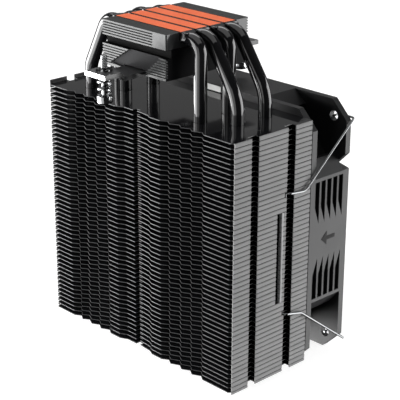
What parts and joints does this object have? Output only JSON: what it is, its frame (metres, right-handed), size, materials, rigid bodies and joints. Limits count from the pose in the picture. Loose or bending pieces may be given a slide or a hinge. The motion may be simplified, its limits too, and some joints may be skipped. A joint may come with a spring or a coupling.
{
  "type": "cpu tower cooler",
  "caption": "Black tower cooler for a computer processor: heat pipes run from a contact base up through a fin stack, with a fan held on one side by bent wire clips.",
  "frame": {"origin": "centre of the flat contact face that touches the processor", "axes": "+Z points out of the contact face, away from the fins; +X runs along the wide side of the fin stack; +Y points from the fin stack to the fan"},
  "size_m": [0.1226, 0.0953, 0.1542],
  "materials": {
    "fin_coating": "black coated aluminium, satin",
    "black_nickel": "black nickel plate over copper, glossy",
    "base_black": "black anodised aluminium, satin",
    "bright_steel": "bright nickel plated steel",
    "fan_plastic": "black moulded plastic, matte",
    "blade_plastic": "black moulded plastic, satin",
    "ferrite": "dark ferrite, matte",
    "winding": "enamelled copper winding on a steel core",
    "board_green": "green circuit board",
    "sleeve_brass": "sintered brass",
    "cap_plastic": "dark plastic, matte",
    "label_white": "blank pale label"
  },
  "bodies": {
    "cooler": {"base_block": "base_black", "base_heatsink": "base_black", "base_screw_1": "bright_steel", "base_screw_2": "bright_steel", "mounting_bar": "bright_steel", "fan_frame": "fan_plastic", "fan_label": "label_white", "bearing_sleeve": "sleeve_brass", "motor_stator": "winding", "motor_board": "board_green", "bearing_cap": "cap_plastic", "heat_pipe_1": "black_nickel", "heat_pipe_2": "black_nickel", "heat_pipe_3": "black_nickel", "heat_pipe_4": "black_nickel", "fin_pack_1": "fin_coating", "fin_pack_2": "fin_coating", "fin_pack_3": "fin_coating", "fin_pack_4": "fin_coating", "fin_pack_5": "fin_coating", "fin_pack_6": "fin_coating", "fin_pack_7": "fin_coating", "fin_pack_8": "fin_coating", "fin_pack_9": "fin_coating", "screw_spring_near": "bright_steel", "screw_spring_far": "bright_steel"},
    "fan_wheel": {"fan_rotor": "blade_plastic", "rotor_yoke": "bright_steel", "rotor_magnet": "ferrite", "rotor_shaft": "bright_steel", "shaft_clip": "cap_plastic"},
    "clip_right": {"wire_clip_right": "bright_steel"},
    "clip_left": {"wire_clip_left": "bright_steel"},
    "retainer_near": {"screw_retainer_near": "bright_steel"},
    "screw_near": {"mounting_screw_near": "bright_steel"},
    "retainer_far": {"screw_retainer_far": "bright_steel"},
    "screw_far": {"mounting_screw_far": "bright_steel"}
  },
  "joints": [
    {"name": "fan_spin", "type": "hinge", "parent": "cooler", "child": "fan_wheel", "pos_m": [0, 0.036, -0.0942], "axis": [0, 1, 0], "continuous": true},
    {"name": "clip_right_swing", "type": "hinge", "parent": "cooler", "child": "clip_right", "pos_m": [0.0525, 0.0469, -0.0942], "axis": [0, 0, 1], "range_deg": [0, 45]},
    {"name": "clip_left_swing", "type": "hinge", "parent": "cooler", "child": "clip_left", "pos_m": [-0.0525, 0.0469, -0.0942], "axis": [0, 0, 1], "range_deg": [-45, 0]},
    {"name": "screw_near_press", "type": "slide", "parent": "cooler", "child": "retainer_near", "axis": [0, 0, 1], "range_m": [0, 0.0035], "stiffness_N_per_m": 300, "springref_m": -0.002, "deforming": ["screw_spring_near"]},
    {"name": "screw_near_turn", "type": "hinge", "parent": "retainer_near", "child": "screw_near", "pos_m": [0, -0.0402, -0.0182], "axis": [0, 0, 1], "continuous": true},
    {"name": "screw_far_press", "type": "slide", "parent": "cooler", "child": "retainer_far", "axis": [0, 0, 1], "range_m": [0, 0.0035], "stiffness_N_per_m": 300, "springref_m": -0.002, "deforming": ["screw_spring_far"]},
    {"name": "screw_far_turn", "type": "hinge", "parent": "retainer_far", "child": "screw_far", "pos_m": [0, 0.0402, -0.0182], "axis": [0, 0, 1], "continuous": true}
  ]
}
